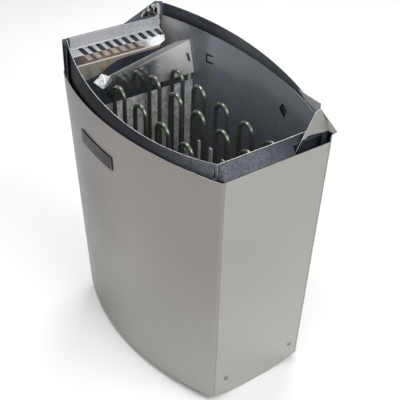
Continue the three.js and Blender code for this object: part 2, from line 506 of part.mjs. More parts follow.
// ---- controls on the left end: local Z out of the panel, local X towards the front ----
const controls = new THREE.Group();
controls.applyMatrix4(endFrame(-1, CONTROL_Z));
body.add(controls);
{
  const x0 = -82, x1 = 76, y0 = -25, y1 = 25, r = 6;
  const corner = (cx, cy, a0) => Array.from({ length: 5 }, (_, k) => [cx + r * Math.cos(a0 + (k * Math.PI) / 8), cy + r * Math.sin(a0 + (k * Math.PI) / 8)]);
  const outline = [...corner(x1 - r, y0 + r, -Math.PI / 2), ...corner(x1 - r, y1 - r, 0), ...corner(x0 + r, y1 - r, Math.PI / 2), ...corner(x0 + r, y0 + r, Math.PI)];
  const hole = (x, rr) => ring(rr, 16).map(([a, b]) => [a + x, b]);
  add('control_plate', plateZ(outline, 0.3, 1.5, [hole(-TIMER_Y, 4.2), hole(-THERMOSTAT_Y, 4.2), hole(-RESET_Y, 5.6)]), BLACK, controls);
}
for (const [name, y] of [['timer', TIMER_Y], ['thermostat', THERMOSTAT_Y]]) {
  add(`${name}_unit`, cut(join(block(-21, 21, -21, 21, -31, -4), rod(7, -5, -1.4, 16)), rod(SHAFT_R + 0.5, -14, 5, 12)).translate(-y, 0, 0), CERAMIC, controls);
  add(`${name}_shaft`, rod(SHAFT_R, -13, 16, 12).translate(-y, 0, 0), ZINC, controls);
  const skirt = turned([[0, 2.6], [KNOB_R + 2, 2.6], [KNOB_R + 2, 5], [KNOB_R - 1, 7], [KNOB_R - 2.4, KNOB_H + 1], [KNOB_R - 4, KNOB_H + 2.4], [0, KNOB_H + 2.4]], 28);
  const grip = block(-2.2, 2.2, -KNOB_R + 3.5, KNOB_R - 3.5, KNOB_H, KNOB_H + 5.4);
  const pointer = block(-0.8, 0.8, 5, KNOB_R + 1.6, 4.4, KNOB_H + 4.6);
  add(`${name}_knob`, cut(join(skirt, grip, pointer), rod(SHAFT_R + 0.3, 0, 16.4, 12)).translate(-y, 0, 0), BLACK, controls);
}
add('overheat_cutout', cut(join(block(-11, 11, -13, 13, -28, -8), rod(8, -9, -4.4, 16)), rod(4.2, -14, 5, 12)).translate(-RESET_Y, 0, 0), BLACK, controls);
add('reset_button', turned([[0, -9.5], [3.6, -9.5], [3.6, 0], [5, 0], [5, 4.4], [4.2, 5.2], [0, 5.2]], 16).translate(-RESET_Y, 0, 0), RED, controls);
// sensor bulbs in the duct with their capillaries
for (const [name, y, yb] of [['thermostat', THERMOSTAT_Y, 30], ['limiter', RESET_Y, -8]]) {
  const c = new THREE.CatmullRomCurve3([V(-185, y, name === 'limiter' ? 87.2 : 95.2), V(-180, y, 103), V(-174, (y + yb) / 2, 130), V(-171, yb, 190), V(-171, yb, 300)]);
  const path = c.getPoints(12).map((p) => [p.x, p.y, p.z]);
  const r = path.map(() => 1);
  path.push([-171, yb, 304], [-171, yb, 306], [-171, yb, 396], [-171, yb, 399]);
  r.push(1, 3, 3, 1.4);
  add(`${name}_sensor`, tube(path, r, 6), COPPER);
}

// ---- blank badge on the front ----
{
  const surf = (x, z, out) => {
    const k = lean(z), a = HALF_LENGTH - TAPER_X * k, e = END_HALF_WIDTH - TAPER_Y * k, b = FRONT_BULGE - TAPER_Y * k;
    const s = b - e, R = (a * a + s * s) / (2 * s), y = -arcY(x, a, e, b), nx = x / R, ny = (y + (b - R)) / R;
    return [x + nx * out, y + ny * out, z];
  };
  const stations = [];
  for (let i = 0; i <= 8; i++) {
    const x = -122 + (114 * i) / 8;
    stations.push({ outer: [surf(x, 384, 2.2), surf(x, 409, 2.2)], inner: [surf(x, 384, 0.4), surf(x, 409, 0.4)] });
  }
  add('badge_plate', sheet(stations), BLACK);
}
// ---- wall brackets on the rear casing ----
for (const [name, z] of [['upper', 400], ['lower', 120]]) {
  const prof = [[-66, 149], [-66, 166], [66, 166], [66, 149], [64, 149], [64, 164], [-64, 164], [-64, 149]].map(([x, y]) => [x, Math.max(y, 0)]);
  const foot = arcY(66, HALF_LENGTH - TAPER_X * lean(z), END_HALF_WIDTH, REAR_BULGE) + 0.6;
  const g = plateZ(prof.map(([x, y]) => [x, y === 149 ? foot : y]).reverse(), z, 40);
  add(`wall_bracket_${name}`, g, ZINC);
}

export default group;
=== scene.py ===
import json
import math

import bmesh
import bpy
from mathutils import Matrix, Vector


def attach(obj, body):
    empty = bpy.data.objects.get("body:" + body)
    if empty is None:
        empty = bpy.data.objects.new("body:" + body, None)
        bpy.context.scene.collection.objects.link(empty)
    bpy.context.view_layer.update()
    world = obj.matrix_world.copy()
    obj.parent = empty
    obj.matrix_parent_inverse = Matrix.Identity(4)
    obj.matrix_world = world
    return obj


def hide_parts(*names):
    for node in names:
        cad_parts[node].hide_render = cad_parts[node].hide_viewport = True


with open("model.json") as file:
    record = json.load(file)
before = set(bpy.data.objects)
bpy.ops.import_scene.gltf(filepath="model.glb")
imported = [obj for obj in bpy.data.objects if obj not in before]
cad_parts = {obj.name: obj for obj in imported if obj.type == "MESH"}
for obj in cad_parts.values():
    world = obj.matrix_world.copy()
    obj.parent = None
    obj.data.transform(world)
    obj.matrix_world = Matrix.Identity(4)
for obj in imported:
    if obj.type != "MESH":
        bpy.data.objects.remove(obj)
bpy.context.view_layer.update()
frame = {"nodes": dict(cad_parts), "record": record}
scene = bpy.context.scene
SHIFT = Vector((-0.00205, -0.00715, 0.012))  # from the casing's own frame to the row frame
mm = 0.001


# ---------------------------------------------------------------- camera
def make_camera():
    f, cx, cy = 842.9726, 200.2273, 220.0766  # pixels of a 400 x 400 picture
    yaw, pitch, roll = -0.908886, 0.610328, -0.027966
    sy, co, sp, cp = math.sin(yaw), math.cos(yaw), math.sin(pitch), math.cos(pitch)
    fwd, right = Vector((sy * cp, co * cp, -sp)), Vector((co, -sy, 0))
    down = fwd.cross(right)
    cr, sr = math.cos(roll), math.sin(roll)
    r2, d2 = cr * right + sr * down, -sr * right + cr * down
    data = bpy.data.cameras.new("camera")
    data.sensor_width = 36
    data.lens = f * 36 / 400
    data.shift_x = (200 - cx) / 400
    data.shift_y = (cy - 200) / 400
    data.clip_end = 50
    cam = bpy.data.objects.new("camera", data)
    scene.collection.objects.link(cam)
    turn = Matrix((r2, -d2, -fwd)).transposed().to_4x4()
    cam.matrix_world = Matrix.Translation((1.011868, -0.766249, 1.128469)) @ turn
    scene.camera = cam


make_camera()


# ---------------------------------------------------------------- materials
class Look:
    """One procedural material. Textures use object coordinates, which are metres in the row frame."""

    def __init__(self, name, **sockets):
        self.mat = bpy.data.materials.new(name)
        self.mat.use_nodes = True
        self.tree = self.mat.node_tree
        self.shader = self.tree.nodes["Principled BSDF"]
        for k, v in sockets.items():
            self.shader.inputs[k.replace("_", " ")].default_value = v
        self.place = self.tree.nodes.new("ShaderNodeTexCoord").outputs["Object"]

    def put(self, socket, value):
        if isinstance(value, bpy.types.NodeSocket):
            self.tree.links.new(value, socket)
        else:
            socket.default_value = value

    def scaled(self, sx, sy, sz, move=(0, 0, 0), turn=(0, 0, 0)):
        n = self.tree.nodes.new("ShaderNodeMapping")
        n.inputs["Scale"].default_value = (sx, sy, sz)
        n.inputs["Location"].default_value = move
        n.inputs["Rotation"].default_value = turn
        self.put(n.inputs["Vector"], self.place)
        return n.outputs[0]

    def noise(self, vec, scale, detail=4.0, rough=0.55, distort=0.0):
        n = self.tree.nodes.new("ShaderNodeTexNoise")
        self.put(n.inputs["Vector"], vec)
        n.inputs["Scale"].default_value = scale
        n.inputs["Detail"].default_value = detail
        n.inputs["Roughness"].default_value = rough
        n.inputs["Distortion"].default_value = distort
        return n.outputs["Fac"]

    def cells(self, vec, scale, feature="F1"):
        n = self.tree.nodes.new("ShaderNodeTexVoronoi")
        n.feature = feature
        self.put(n.inputs["Vector"], vec)
        n.inputs["Scale"].default_value = scale
        if feature != "F1":
            return n.outputs["Distance"]
        s = self.tree.nodes.new("ShaderNodeSeparateColor")
        self.put(s.inputs[0], n.outputs["Color"])
        return s.outputs[0]

    def axes(self):
        n = self.tree.nodes.new("ShaderNodeSeparateXYZ")
        self.put(n.inputs[0], self.place)
        return n.outputs[0], n.outputs[1], n.outputs[2]

    def calc(self, op, a, b=0.0, c=0.0, clamp=False):
        n = self.tree.nodes.new("ShaderNodeMath")
        n.operation = op
        n.use_clamp = clamp
        for i, v in enumerate((a, b, c)):
            if i < len(n.inputs):
                self.put(n.inputs[i], v)
        return n.outputs[0]

    def span(self, v, a, b, lo=0.0, hi=1.0, smooth=True):
        n = self.tree.nodes.new("ShaderNodeMapRange")
        n.interpolation_type = "SMOOTHSTEP" if smooth else "LINEAR"
        for i, x in enumerate((v, a, b, lo, hi)):
            self.put(n.inputs[i], x)
        return n.outputs[0]

    def ramp(self, fac, stops):
        n = self.tree.nodes.new("ShaderNodeValToRGB")
        e = n.color_ramp.elements
        while len(e) < len(stops):
            e.new(0.5)
        for el, (p, c) in zip(e, stops):
            el.position = p
            el.color = (*c, 1)
        self.put(n.inputs[0], fac)
        return n.outputs[0]

    def mixed(self, fac, a, b, kind="MIX"):
        n = self.tree.nodes.new("ShaderNodeMix")
        n.data_type = "RGBA"
        n.blend_type = kind
        for i, v in ((0, fac), (6, a), (7, b)):
            self.put(n.inputs[i], (*v, 1) if isinstance(v, tuple) and len(v) == 3 else v)
        return n.outputs[2]

    def bump(self, height, strength, distance, onto=None):
        n = self.tree.nodes.new("ShaderNodeBump")
        n.inputs["Strength"].default_value = strength
        n.inputs["Distance"].default_value = distance
        self.put(n.inputs["Height"], height)
        if onto is not None:
            self.put(n.inputs["Normal"], onto)
        return n.outputs[0]

    def finish(self, color=None, rough=None, normal=None):
        for key, v in (("Base Color", color), ("Roughness", rough), ("Normal", normal)):
            if v is not None:
                self.put(self.shader.inputs[key], v)
        return self.mat


def tone(c, k):
    return tuple(min(1.0, x * k) for x in c)


def brushed(name, c, scale=(420, 420, 5), rough=(0.30, 0.44), paint_light_and_shade=None, painted_light_foot=None, metallic=1.0):
    """Satin sheet with fine grinding lines, wiped patches and faint scratches."""
    L = Look(name, Metallic=metallic)
    lines = L.noise(L.scaled(*scale), 1.0, 3, 0.6)
    fine = L.noise(L.scaled(*(s * 4 for s in scale)), 1.0, 2, 0.5)
    cloud = L.noise(L.place, 6.0, 3, 0.5, 0.4)
    grain = L.calc("ADD", L.calc("MULTIPLY", lines, 0.6), L.calc("MULTIPLY", fine, 0.4))
    both = L.calc("ADD", L.calc("MULTIPLY", grain, 0.55), L.calc("MULTIPLY", cloud, 0.45))
    color = L.ramp(both, [(0.32, tone(c, 0.955)), (0.5, c), (0.68, tone(c, 1.045))])
    if painted_light_foot:  # painted light: lighter towards the foot
        low = L.ramp(both, [(0.32, tone(painted_light_foot, 0.955)), (0.5, painted_light_foot), (0.68, tone(painted_light_foot, 1.045))])
        zz = L.calc("ADD", L.axes()[2], L.calc("MULTIPLY", L.calc("SUBTRACT", cloud, 0.5), 0.12))
        color = L.mixed(L.span(zz, 0.36, 0.02), color, low)
    # hook that paints light and shade into the colour
    if paint_light_and_shade:
        color = paint_light_and_shade(L, color)
    r = L.span(both, 0.3, 0.7, rough[0], rough[1], False)
    scratch = L.noise(L.scaled(40, 40, 900, turn=(0.5, 0.35, 0.2)), 1.0, 1, 0.4)
    n = L.bump(grain, 0.06, 0.00012)
    n = L.bump(L.span(scratch, 0.70, 0.78), 0.05, 0.0001, n)
    return L.finish(color, r, n)


def spangled(name, c, size=120.0, contrast=0.16, rough=(0.30, 0.5), paint=None, metallic=0.95, gloss=0.5):
    """Hot-dip zinc: crystal flowers of different tone and gloss, white bloom and a few scuffs."""
    L = Look(name, Metallic=metallic, Specular_IOR_Level=gloss)
    warp = L.tree.nodes.new("ShaderNodeVectorMath")
    warp.operation = "MULTIPLY_ADD"
    wob = L.tree.nodes.new("ShaderNodeTexNoise")
    wob.inputs["Scale"].default_value = 60
    L.put(wob.inputs["Vector"], L.place)
    L.put(warp.inputs[0], wob.outputs["Color"])
    warp.inputs[1].default_value = (0.006, 0.006, 0.006)
    L.put(warp.inputs[2], L.place)
    big = L.cells(warp.outputs[0], size)
    small = L.cells(warp.outputs[0], size * 2.6)
    feather = L.noise(L.scaled(300, 900, 500, turn=(0.4, 0.3, 0.8)), 1.0, 3, 0.6)
    bloom = L.noise(L.place, 14.0, 4, 0.6, 0.5)
    t = L.calc("ADD", L.calc("MULTIPLY", big, 0.42), L.calc("MULTIPLY", small, 0.2))
    t = L.calc("ADD", t, L.calc("MULTIPLY", feather, 0.16))
    t = L.calc("ADD", t, L.calc("MULTIPLY", bloom, 0.22))
    color = L.ramp(t, [(0.2, tone(c, 1 - contrast)), (0.5, c), (0.8, tone(c, 1 + contrast))])
    if paint:
        color = paint(L, color)
    r = L.span(t, 0.2, 0.8, rough[1], rough[0], False)
    n = L.bump(t, 0.12, 0.0002)
    n = L.bump(feather, 0.05, 0.0001, n)
    return L.finish(color, r, n)


def painted_shade_left(L, color):
    """Painted shade: the front sheet is painted darker towards its left corner."""
    x, y, z = L.axes()
    wob = L.noise(L.place, 5.0, 3, 0.5)
    xx = L.calc("ADD", x, L.calc("MULTIPLY", L.calc("SUBTRACT", wob, 0.5), 0.08))
    return L.mixed(L.calc("MULTIPLY", L.span(xx, 0.04, -0.15), 0.66), color, (0.137, 0.134, 0.130))


def baffle_light_and_shade(L, color):
    """The baffle is satin at the rear end and polished low down towards the front, where it mirrors the loops; there
    its colour is painted darker, painted shade for the dark loops and recess it reflects. Below its top edge, a darker
    strip and a bright line are a painted shadow and a painted highlight standing in for a fold.
    """
    x, y, z = L.axes()
    wob = L.noise(L.place, 22.0, 4, 0.6)
    yy = L.calc("ADD", y, L.calc("MULTIPLY", L.calc("SUBTRACT", wob, 0.5), 0.04))
    zz = L.calc("ADD", z, L.calc("MULTIPLY", L.calc("SUBTRACT", wob, 0.5), 0.012))
    # painted shade: darker low down towards the front
    color = L.mixed(L.calc("MULTIPLY", L.span(L.calc("MULTIPLY_ADD", zz, 1.2, yy), 0.72, 0.58), 0.8), color, (0.19, 0.196, 0.196))
    # in the mirror zone the sheet is more metallic, and its colour is painted darker as painted shade
    mirror = L.calc("MULTIPLY", L.span(L.calc("MULTIPLY_ADD", yy, -0.06, zz), 0.494, 0.480), L.span(yy, 0.048, 0.016))
    color = L.mixed(L.calc("MULTIPLY", mirror, 0.97), color, (0.42, 0.425, 0.44))
    L.put(L.shader.inputs["Metallic"], L.calc("MULTIPLY_ADD", mirror, 0.55, 0.42))
    # distance below the sloping top edge
    drop = L.calc("SUBTRACT", L.calc("MULTIPLY_ADD", y, 0.182, 0.4951), z)
    # painted shadow: a darker strip just below the top edge
    strip = L.calc("MULTIPLY", L.span(drop, 0.0082, 0.0074), L.span(y, -0.055, 0.0))
    color = L.mixed(L.calc("MULTIPLY", strip, 0.55), color, (0.20, 0.205, 0.20))
    # painted highlight: a bright line along the lower edge of that strip
    line = L.calc("MULTIPLY", L.calc("MULTIPLY", L.span(drop, 0.0074, 0.0080), L.span(drop, 0.0100, 0.0090)), L.span(y, -0.03, 0.02))
    return L.mixed(L.calc("MULTIPLY", line, 0.8), color, (0.92, 0.92, 0.90))


def ledge_tint_light_and_shade(L, color):
    """Brown oxide along the hot edge of the ledge, with painted light in patches in line with the slots and painted
    shade near black at its front end; straw and blue on the web. The slotted strip is painted darker as painted shade,
    and a painted highlight runs along the lip's bend.
    """
    x, y, z = L.axes()
    wob = L.noise(L.place, 55.0, 4, 0.6)
    xx = L.calc("ADD", x, L.calc("MULTIPLY", L.calc("SUBTRACT", wob, 0.5), 0.005))
    fade = L.span(L.calc("ADD", y, L.calc("MULTIPLY", wob, 0.03)), 0.075, 0.030)  # clean at the rear end
    hot = L.calc("MULTIPLY", L.span(xx, -0.2060, -0.2020), fade)
    step = L.calc("FRACT", L.calc("DIVIDE", L.calc("ADD", y, 0.08475 + 0.008925 + 0.08925), 0.01785))
    off = L.calc("ABSOLUTE", L.calc("SUBTRACT", step, 0.5))
    # painted light: lighter patches on the ledge in line with the slots, where light through them falls
    slot_light_patch = L.calc("MULTIPLY", L.span(off, 0.33, 0.22), L.span(xx, -0.1835, -0.1875))
    brown = L.ramp(wob, [(0.3, (0.022, 0.018, 0.016)), (0.5, (0.060, 0.040, 0.028)), (0.7, (0.15, 0.10, 0.065))])
    # painted shade: the brown turns near black at the ledge's front end
    brown = L.mixed(L.span(y, -0.085, -0.110), brown, (0.016, 0.016, 0.017))
    light = L.ramp(wob, [(0.3, (0.20, 0.170, 0.145)), (0.7, (0.36, 0.315, 0.27))])
    slot_light_patch = L.calc("MULTIPLY", slot_light_patch, L.span(y, -0.100, -0.088))
    color = L.mixed(hot, color, L.mixed(L.calc("MULTIPLY", slot_light_patch, 0.85), brown, light))
    # painted shade: the slotted strip is painted darker
    strip = L.calc("MULTIPLY", L.span(x, -0.2184, -0.2176), L.span(x, -0.2048, -0.2062))
    color = L.mixed(L.calc("MULTIPLY", strip, 0.75), color, (0.27, 0.28, 0.295))
    # the upright is painted lighter towards the front
    upright_lighter_to_front = L.calc("MULTIPLY", L.span(x, -0.2170, -0.2180), L.span(y, 0.05, -0.06))
    color = L.mixed(L.calc("MULTIPLY", upright_lighter_to_front, 0.45), color, (0.90, 0.91, 0.93))
    patch = L.noise(L.place, 34.0, 4, 0.55, 0.9)
    web = L.ramp(patch, [(0.30, (0.20, 0.23, 0.27)), (0.42, (0.40, 0.39, 0.37)), (0.52, (0.42, 0.37, 0.28)), (0.60, (0.27, 0.20, 0.13)), (0.72, (0.11, 0.080, 0.062))])
    web = L.mixed(L.calc("MULTIPLY", L.span(L.calc("MULTIPLY_ADD", wob, 0.03, y), -0.060, -0.092), 0.75), web, (0.40, 0.425, 0.455))
    color = L.mixed(L.span(x, -0.1788, -0.1780), color, web)
    # painted highlight along the top of the lip's bend
    return L.mixed(L.calc("MULTIPLY", L.span(x, -0.1790, -0.1781), L.span(z, 0.5052, 0.5066)), color, (0.44, 0.415, 0.38))


def painted_shade_to_duct(L, color):
    """Painted shade: the zinc is painted nearly black blue towards the duct end and stays grey at the bare end, for the
    darker surroundings it reflects there.
    """
    x, y, z = L.axes()
    wob = L.noise(L.place, 9.0, 4, 0.6)
    xx = L.calc("ADD", x, L.calc("MULTIPLY", L.calc("SUBTRACT", wob, 0.5), 0.10))
    color = L.mixed(L.span(xx, 0.21, 0.06), color, (0.024, 0.026, 0.031))
    return L.mixed(L.span(xx, 0.06, -0.12), color, (0.0075, 0.0095, 0.0105))


def shaded_right(L, color):
    """Painted shade: the bare end's wall is painted darker behind the corner flap."""
    x, y, z = L.axes()
    wob = L.noise(L.place, 30.0, 4, 0.6)
    yy = L.calc("ADD", y, L.calc("MULTIPLY", L.calc("SUBTRACT", wob, 0.5), 0.03))
    return L.mixed(L.span(yy, 0.000, 0.030), color, (0.15, 0.165, 0.20))


def band_painted_shadow(L, color):
    """Painted shadow: the band is painted darker towards the corner flap and darker still behind it."""
    x, y, z = L.axes()
    wob = L.noise(L.place, 26.0, 4, 0.6)
    yy = L.calc("ADD", y, L.calc("MULTIPLY", L.calc("SUBTRACT", wob, 0.5), 0.05))
    color = L.mixed(L.span(yy, -0.05, 0.025), color, (0.044, 0.049, 0.058))
    return L.mixed(L.span(yy, 0.022, 0.050), color, (0.026, 0.030, 0.041))


def shaded_corner(L, color):
    """Painted light and shade: the rear casing's inner face is painted lighter along its right half, where light falls
    on it, and darker in the shaded corner behind the flap.
    """
    x, y, z = L.axes()
    color = L.mixed(L.span(x, -0.14, -0.04), color, (0.235, 0.247, 0.280))
    return L.mixed(L.span(x, 0.185, 0.205), color, (0.030, 0.034, 0.044))


def rear_wall_light_and_shade(L, color):
    """Lighter towards the duct end, painted light along the rim, darker in a band behind the first loops, and painted
    shade low down between the elements.
    """
    x, y, z = L.axes()
    wob = L.noise(L.place, 8.0, 4, 0.6)
    xx = L.calc("ADD", x, L.calc("MULTIPLY", L.calc("SUBTRACT", wob, 0.5), 0.08))
    color = L.mixed(L.span(xx, -0.155, -0.215), color, (0.50, 0.505, 0.50))
    # painted light along the rim
    rim = L.span(L.calc("ADD", z, L.calc("MULTIPLY", L.calc("SUBTRACT", wob, 0.5), 0.03)), 0.460, 0.492)
    color = L.mixed(L.calc("MULTIPLY", rim, L.span(x, -0.150, -0.110)), color, (0.45, 0.472, 0.525))
    color = L.mixed(L.calc("MULTIPLY", L.calc("MULTIPLY", L.span(x, -0.175, -0.145), L.span(x, -0.108, -0.132)), 0.5), color, (0.14, 0.15, 0.165))
    # painted shade low down between the elements
    low = L.span(L.calc("ADD", z, L.calc("MULTIPLY", wob, 0.04)), 0.47, 0.36)
    return L.mixed(L.calc("MULTIPLY", low, 0.2), color, (0.09, 0.10, 0.105))


def plastic(name, c, rough, grain=1800.0, depth=0.10, gloss=0.5):
    L = Look(name, Metallic=0.0, Specular_IOR_Level=gloss)
    fine = L.noise(L.place, grain, 3, 0.6)
    cloud = L.noise(L.place, 45.0, 3, 0.5)
    color = L.ramp(cloud, [(0.3, tone(c, 0.85)), (0.7, tone(c, 1.18))])
    return L.finish(color, L.span(cloud, 0.3, 0.7, rough - 0.06, rough + 0.06, False), L.bump(fine, depth, 0.0001))


def metal(name, c, rough, spread=0.12, grain=700.0, metallic=1.0):
    L = Look(name, Metallic=metallic)
    fine = L.noise(L.place, grain, 3, 0.6)
    cloud = L.noise(L.place, 60.0, 4, 0.6, 0.4)
    color = L.ramp(cloud, [(0.25, tone(c, 1 - spread)), (0.5, c), (0.75, tone(c, 1 + spread))])
    return L.finish(color, L.span(cloud, 0.3, 0.7, rough - 0.07, rough + 0.07, False), L.bump(fine, 0.06, 0.0001))


def edge_with_painted_shade(name, c, rough):
    """Bright cut edge, with painted shade on the leg inside the corner."""
    L = Look(name, Metallic=1.0)
    cloud = L.noise(L.place, 60.0, 4, 0.6, 0.4)
    x, y, z = L.axes()
    color = L.ramp(cloud, [(0.25, tone(c, 0.9)), (0.75, tone(c, 1.1))])
    # painted shade on the leg inside the corner
    leg = L.calc("MULTIPLY", L.span(z, 0.4985, 0.4965), L.span(y, 0.070, 0.076))
    return L.finish(L.mixed(leg, color, (0.020, 0.023, 0.029)), L.span(cloud, 0.3, 0.7, rough - 0.06, rough + 0.06, False))


def crumpled(name, c, size=140.0, depth=0.9, dark=0.3, metallic=0.9, cut=0.42):
    """Bright sheet that has been hammered and bent: small dents catch the light one by one, and the colour follows the
    dents, with painted highlights on the raised facets and painted shade in the hollows.
    """
    L = Look(name, Metallic=metallic)
    dents = L.noise(L.place, size, 2, 0.5, 0.6)
    fine = L.noise(L.place, size * 5, 3, 0.6)
    # painted highlights and shade following the dents
    color = L.ramp(dents, [(cut - 0.08, tone(c, dark)), (cut + 0.03, tone(c, 0.85)), (cut + 0.18, c), (cut + 0.33, tone(c, 1.2))])
    n = L.bump(dents, depth, 0.004)
    return L.finish(color, L.span(fine, 0.3, 0.7, 0.12, 0.24, False), L.bump(fine, 0.05, 0.0002, n))


def sheath():
    """Oxidised element tube: olive brown over nearly black, blotched along its length."""
    L = Look("element_sheath", Metallic=0.75)
    blot = L.noise(L.place, 90.0, 5, 0.65, 0.6)
    long = L.noise(L.scaled(60, 60, 9), 1.0, 3, 0.5)
    t = L.calc("ADD", L.calc("MULTIPLY", blot, 0.6), L.calc("MULTIPLY", long, 0.4))
    color = L.ramp(t, [(0.3, (0.105, 0.117, 0.104)), (0.5, (0.165, 0.180, 0.150)), (0.7, (0.225, 0.238, 0.190))])
    return L.finish(color, L.span(t, 0.3, 0.7, 0.32, 0.18, False), L.bump(L.noise(L.place, 1500.0, 3, 0.6), 0.08, 0.0001))


LOOK = {
    # The front and the end panels share one stainless: the front's copy is darker and the ends' copy lighter, painted
    # shade and painted light for how the light falls on each.
    "stainless": brushed("stainless", (0.268, 0.252, 0.241), paint_light_and_shade=painted_shade_left, painted_light_foot=(0.350, 0.345, 0.328)),
    "stainless_end": brushed("stainless_end", (0.343, 0.336, 0.322), painted_light_foot=(0.438, 0.430, 0.410)),
    "flap": brushed("flap_stainless", (0.250, 0.243, 0.230), metallic=0.3),
    # lighter copy of the flap's stainless, painted light
    "flap_back": brushed("flap_stainless_painted_light", (0.44, 0.435, 0.425), metallic=0.2),
    # near-black painted shade for the flap's leg inside the corner
    "flap_leg_painted_shade": spangled("flap_leg_painted_shade", (0.017, 0.020, 0.026), 120, 0.30, (0.5, 0.6), metallic=0.0, gloss=0.05),
    "baffle": brushed("baffle_stainless", (0.95, 0.95, 0.935), (260, 10, 420), (0.07, 0.12), baffle_light_and_shade, metallic=0.42),
    "hem": metal("hem_edge", (0.34, 0.345, 0.34), 0.34, 0.16),
    "edge": metal("cut_edge", (0.46, 0.46, 0.45), 0.30, 0.14),
    "bright_edge": metal("bright_edge", (0.85, 0.84, 0.82), 0.22, 0.08),
    "flap_edge": edge_with_painted_shade("flap_edge", (0.85, 0.84, 0.82), 0.22),
    "dark_edge": metal("dark_edge", (0.16, 0.165, 0.175), 0.36, 0.18),
    "dark": spangled("zinc_painted_shade", (0.098, 0.104, 0.116), 210, 0.30, (0.40, 0.56), painted_shade_to_duct, 0.0, 0.03),
    "collar": spangled("collar_dark", (0.0165, 0.0185, 0.0205), 130, 0.35, (0.5, 0.62), metallic=0.0, gloss=0.0),
    "rear": spangled("rear_dark", (0.092, 0.098, 0.114), 150, 0.30, (0.36, 0.54), shaded_corner, 0.8),
    "galvanised": spangled("galvanised", (0.46, 0.475, 0.49), 120, 0.20, (0.34, 0.5)),
    "duct": spangled("duct_zinc", (0.55, 0.56, 0.575), 130, 0.45, (0.38, 0.55), metallic=0.35),
    "rear_wall": spangled("rear_wall_zinc", (0.292, 0.308, 0.356), 230, 0.24, (0.42, 0.58), rear_wall_light_and_shade, 0.75),
    "right_wall": spangled("right_wall_zinc", (0.205, 0.218, 0.238), 230, 0.42, (0.36, 0.56), shaded_right, 0.9),
    "band": spangled("band_zinc", (0.092, 0.096, 0.110), 300, 0.40, (0.40, 0.58), band_painted_shadow, 0.4, 0.15),
    "slotted": spangled("slotted_zinc", (0.76, 0.775, 0.80), 230, 0.24, (0.40, 0.56), ledge_tint_light_and_shade, 0.55),
    "inside": spangled("duct_inside", (0.125, 0.140, 0.175), 120, 0.16, (0.5, 0.6), metallic=0.1, gloss=0.2),
    "sheath": sheath(),
    "bright": metal("bright_steel", (0.78, 0.78, 0.76), 0.22, 0.10),
    "tongue": crumpled("tongue_bright", (0.98, 0.98, 0.97), 85, 0.8, 0.45, 0.4),
    "stay": crumpled("stay_bright", (1.0, 1.0, 1.0), 100, 1.0, 0.02, 0.5, 0.52),
    "bars": spangled("bar_zinc", (0.40, 0.405, 0.40), 150, 0.22, (0.4, 0.55), metallic=0.25),
    "screw": metal("screw_steel", (0.25, 0.25, 0.25), 0.40, 0.2),
    "zinc": metal("zinc_plate", (0.50, 0.51, 0.52), 0.34, 0.12),
    "brass": metal("brass", (0.66, 0.48, 0.22), 0.30, 0.15),
    "copper": metal("copper", (0.60, 0.31, 0.18), 0.34, 0.2),
    "ceramic": plastic("ceramic", (0.74, 0.70, 0.62), 0.62, 900, 0.16),
    "black": plastic("black_plastic", (0.022, 0.022, 0.024), 0.46),
    "badge": plastic("badge_enamel", (0.012, 0.012, 0.013), 0.42, 1200, 0.04, 0.25),
    "red": plastic("red_plastic", (0.46, 0.022, 0.016), 0.32, 1200, 0.05),
    "wire": plastic("wire_sleeve", (0.72, 0.69, 0.61), 0.55, 1400, 0.18),
    "white": plastic("print_white", (0.80, 0.80, 0.78), 0.5, 1400, 0.05),
}


# ---------------------------------------------------------------- pieces
def new_object(name, mesh, looks, body, stands_for=()):
    for k in looks:
        mesh.materials.append(LOOK[k])
    o = bpy.data.objects.new(name, mesh)
    scene.collection.objects.link(o)
    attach(o, body)
    if stands_for:
        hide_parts(*stands_for)
    return o


def bevelled(o, width, segments=2, angle=32, edge_slot=None):
    m = o.modifiers.new("edges", "BEVEL")
    m.limit_method = "ANGLE"
    m.angle_limit = math.radians(angle)
    m.width = width
    m.segments = segments
    m.use_clamp_overlap = True
    if edge_slot is not None:
        m.material = edge_slot
    w = o.modifiers.new("normals", "WEIGHTED_NORMAL")
    w.mode = "FACE_AREA"
    w.weight = 80
    return o


BODY_OF = {n: b for b, ns in frame["record"]["behaviour"]["bodies"].items() for n in ns}


def remake(node, look, width=0.0003, segments=2, edge=None, rim=False, angle=32, inner=None, is_inner=None, cut_z=None):
    """A finished piece on a node's own solid: welded, flat faces joined, edges rounded, cut edges bare."""
    bm = bmesh.new()
    bm.from_mesh(frame["nodes"][node].data)
    bmesh.ops.remove_doubles(bm, verts=bm.verts, dist=2e-6)
    bmesh.ops.dissolve_limit(bm, angle_limit=math.radians(0.5), verts=bm.verts, edges=bm.edges)
    if cut_z is not None:
        bmesh.ops.bisect_plane(bm, geom=bm.verts[:] + bm.edges[:] + bm.faces[:], plane_co=(0, 0, cut_z), plane_no=(0, 0, 1))
    bmesh.ops.recalc_face_normals(bm, faces=bm.faces)
    for f in bm.faces:
        f.smooth = True
        f.material_index = 1 if (rim and edge and f.normal.z > 0.6) else 2 if (inner and is_inner(f)) else 0
    mesh = bpy.data.meshes.new(node + "_finished")
    bm.to_mesh(mesh)
    bm.free()
    o = new_object(node + "_finished", mesh, [look] + ([edge] if edge else []) + ([inner] if inner else []), BODY_OF[node], [node])
    if width:
        bevelled(o, width, segments, angle, 1 if edge else None)
    else:
        mesh.set_sharp_from_angle(angle=math.radians(40))
    return o


